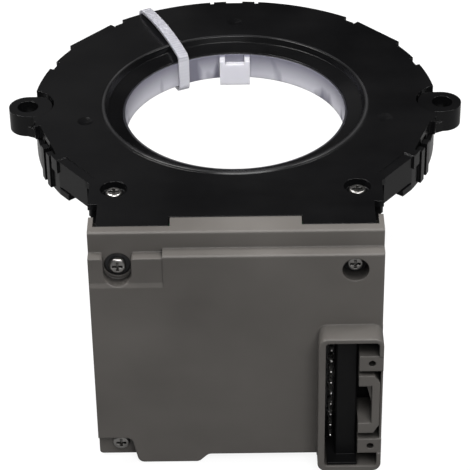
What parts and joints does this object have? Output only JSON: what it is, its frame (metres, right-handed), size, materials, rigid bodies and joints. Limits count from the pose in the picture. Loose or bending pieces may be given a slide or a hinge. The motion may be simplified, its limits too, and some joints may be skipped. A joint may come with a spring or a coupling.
{
  "type": "steering angle sensor",
  "caption": "Ring sensor for a steering column: black toothed-rotor housing with ears, a hanging grey electronics box and a side connector.",
  "frame": {"origin": "midway between the two ear holes, on the plane of the ears' undersides", "axes": "+Z along the steering column axis, towards the ring cover; +X along the line of the two ears; the electronics box hangs at -Y and the connector faces -Y"},
  "size_m": [0.0982, 0.1028, 0.0591],
  "materials": {
    "black_housing": "semi-gloss moulded black plastic",
    "warm_grey_cover": "matte warm grey moulded plastic",
    "white_nylon": "natural translucent nylon",
    "gear_acetal": "satin natural acetal",
    "ferrite_magnet": "sintered dark grey",
    "board_laminate": "green solder mask over glass laminate",
    "chip_epoxy": "matte black epoxy",
    "capacitor_resin": "satin ochre resin",
    "resistor_ceramic": "glazed ceramic with tinned ends",
    "crystal_can": "drawn nickel-silver can",
    "tinned_pins": "bright tin plating",
    "nickel_screws": "bright nickel plating",
    "black_washers": "black oxide steel",
    "connector_black": "satin black glass-filled plastic"
  },
  "bodies": {
    "housing": {"ring_base": "black_housing", "ring_cover": "black_housing", "sensor_chip_a": "chip_epoxy", "sensor_chip_b": "chip_epoxy", "sensor_board": "board_laminate", "board_link": "tinned_pins", "main_board": "board_laminate", "microcontroller": "chip_epoxy", "bus_transceiver": "chip_epoxy", "voltage_regulator": "chip_epoxy", "crystal": "crystal_can", "tantalum_capacitors": "capacitor_resin", "chip_capacitors": "capacitor_resin", "chip_resistors": "resistor_ceramic", "electronics_cover": "warm_grey_cover", "connector_header": "connector_black", "connector_pins": "tinned_pins", "ring_screws": "nickel_screws", "cover_screws": "nickel_screws", "cover_washers": "black_washers", "board_screws": "nickel_screws", "cable_tie": "white_nylon"},
    "rotor": {"rotor": "white_nylon"},
    "measuring_gear_a": {"measuring_gear_a": "gear_acetal", "magnet_a": "ferrite_magnet"},
    "measuring_gear_b": {"measuring_gear_b": "gear_acetal", "magnet_b": "ferrite_magnet"}
  },
  "joints": [
    {"name": "rotor_spin", "type": "hinge", "parent": "housing", "child": "rotor", "pos_m": [0, 0, 0], "axis": [0, 0, 1], "range_deg": [-312, 14]},
    {"name": "measuring_gear_a_spin", "type": "hinge", "parent": "housing", "child": "measuring_gear_a", "pos_m": [0.0117, -0.03214, 0], "axis": [0, 0, 1], "range_deg": [-60.5, 1306.7]},
    {"name": "measuring_gear_b_spin", "type": "hinge", "parent": "housing", "child": "measuring_gear_b", "pos_m": [-0.0119, -0.0327, 0], "axis": [0, 0, 1], "range_deg": [-55.7, 1198]}
  ],
  "couplings": [
    {"joint": "measuring_gear_a_spin", "follows": "rotor_spin", "ratio": -4.1818},
    {"joint": "measuring_gear_b_spin", "follows": "rotor_spin", "ratio": -3.8333}
  ]
}
